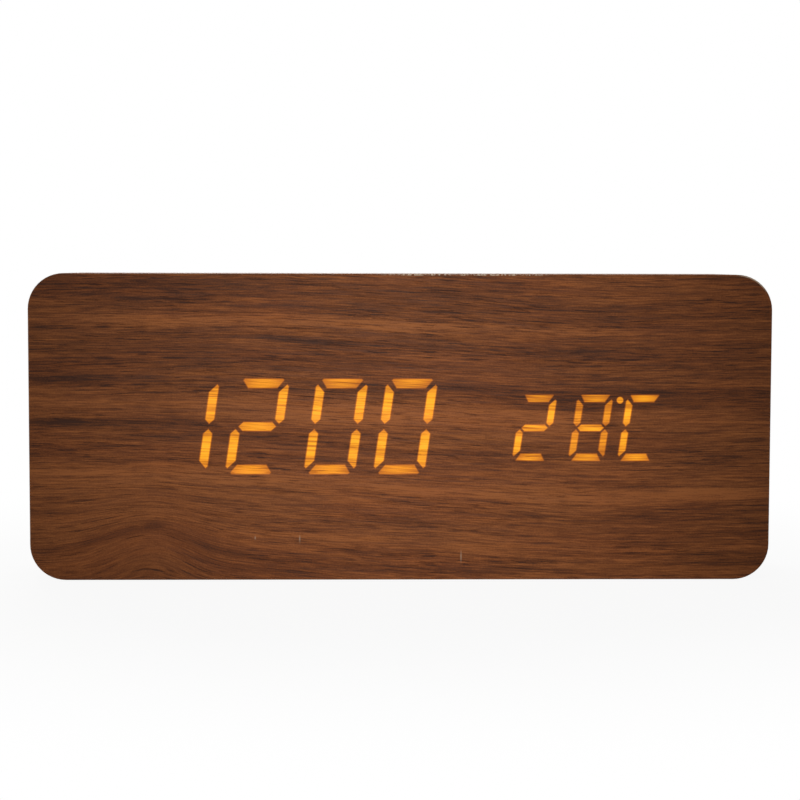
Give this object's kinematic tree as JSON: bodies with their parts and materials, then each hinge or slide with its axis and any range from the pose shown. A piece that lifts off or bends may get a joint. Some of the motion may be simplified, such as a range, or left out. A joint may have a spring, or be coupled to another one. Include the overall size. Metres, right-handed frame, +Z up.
{
  "type": "digital desk clock",
  "caption": "Veneered wooden block clock: slanted seven-bar digits shine through its face; keys, power inlet and battery door at the back.",
  "frame": {"origin": "middle of the flat base, under the middle of the block", "axes": "+Z up; +Y towards the back cover, so the face with the digits looks along -Y; +X to the right seen from the front"},
  "size_m": [0.208, 0.038, 0.086],
  "materials": {
    "fibreboard": "sawn",
    "walnut_veneer": "satin",
    "walnut_edge": "satin",
    "white_film": "matte",
    "white_moulding": "matte",
    "board_laminate": "satin",
    "amber_led": "gloss",
    "chip_resin": "matte",
    "screw_steel": "satin",
    "black_moulding": "fine texture",
    "black_steel": "satin",
    "door_moulding": "fine texture",
    "cell_jacket": "gloss",
    "plated_contact": "bright",
    "lead_jacket": "satin",
    "can_metal": "satin",
    "buzzer_moulding": "matte",
    "bead_glass": "gloss",
    "inlet_moulding": "matte",
    "plug_nylon": "satin",
    "ribbon_jacket": "satin",
    "switch_moulding": "matte",
    "key_moulding": "satin",
    "plunger_moulding": "satin"
  },
  "bodies": {
    "clock": {"back_cover": "black_moulding", "battery_cells": "cell_jacket", "battery_leads": "lead_jacket", "battery_plates": "plated_contact", "battery_springs": "plated_contact", "board_plugs": "plug_nylon", "board_ribbon": "ribbon_jacket", "buzzer": "buzzer_moulding", "capacitors": "can_metal", "case_frame": "fibreboard", "control_board": "board_laminate", "control_board_screws": "screw_steel", "control_chip": "chip_resin", "cover_screws": "black_steel", "crystal": "can_metal", "diffuser_film": "white_film", "display_board": "board_laminate", "display_mount_screws": "screw_steel", "driver_chips": "chip_resin", "edge_veneer": "walnut_edge", "front_veneer": "walnut_veneer", "inlet_contacts": "plated_contact", "key_switches": "switch_moulding", "light_box_screws": "screw_steel", "power_inlet": "inlet_moulding", "temperature_leds": "amber_led", "temperature_light_box": "white_moulding", "thermistor": "bead_glass", "time_leds": "amber_led", "time_light_box": "white_moulding"},
    "battery_door": {"battery_door": "door_moulding"},
    "set_key": {"set_key": "key_moulding", "set_plunger": "plunger_moulding"},
    "up_key": {"up_key": "key_moulding", "up_plunger": "plunger_moulding"},
    "down_key": {"down_key": "key_moulding", "down_plunger": "plunger_moulding"}
  },
  "joints": [
    {"name": "battery_door_tilt", "type": "hinge", "parent": "clock", "child": "battery_door", "pos_m": [-0.0656, 0.018, 0.043], "axis": [0, 0, 1], "range_deg": [0, 75]},
    {"name": "set_key_press", "type": "slide", "parent": "clock", "child": "set_key", "axis": [0, -1, 0], "range_m": [0, 0.0005], "stiffness_N_per_m": 800, "springref_m": -0.0005},
    {"name": "up_key_press", "type": "slide", "parent": "clock", "child": "up_key", "axis": [0, -1, 0], "range_m": [0, 0.0005], "stiffness_N_per_m": 800, "springref_m": -0.0005},
    {"name": "down_key_press", "type": "slide", "parent": "clock", "child": "down_key", "axis": [0, -1, 0], "range_m": [0, 0.0005], "stiffness_N_per_m": 800, "springref_m": -0.0005}
  ]
}
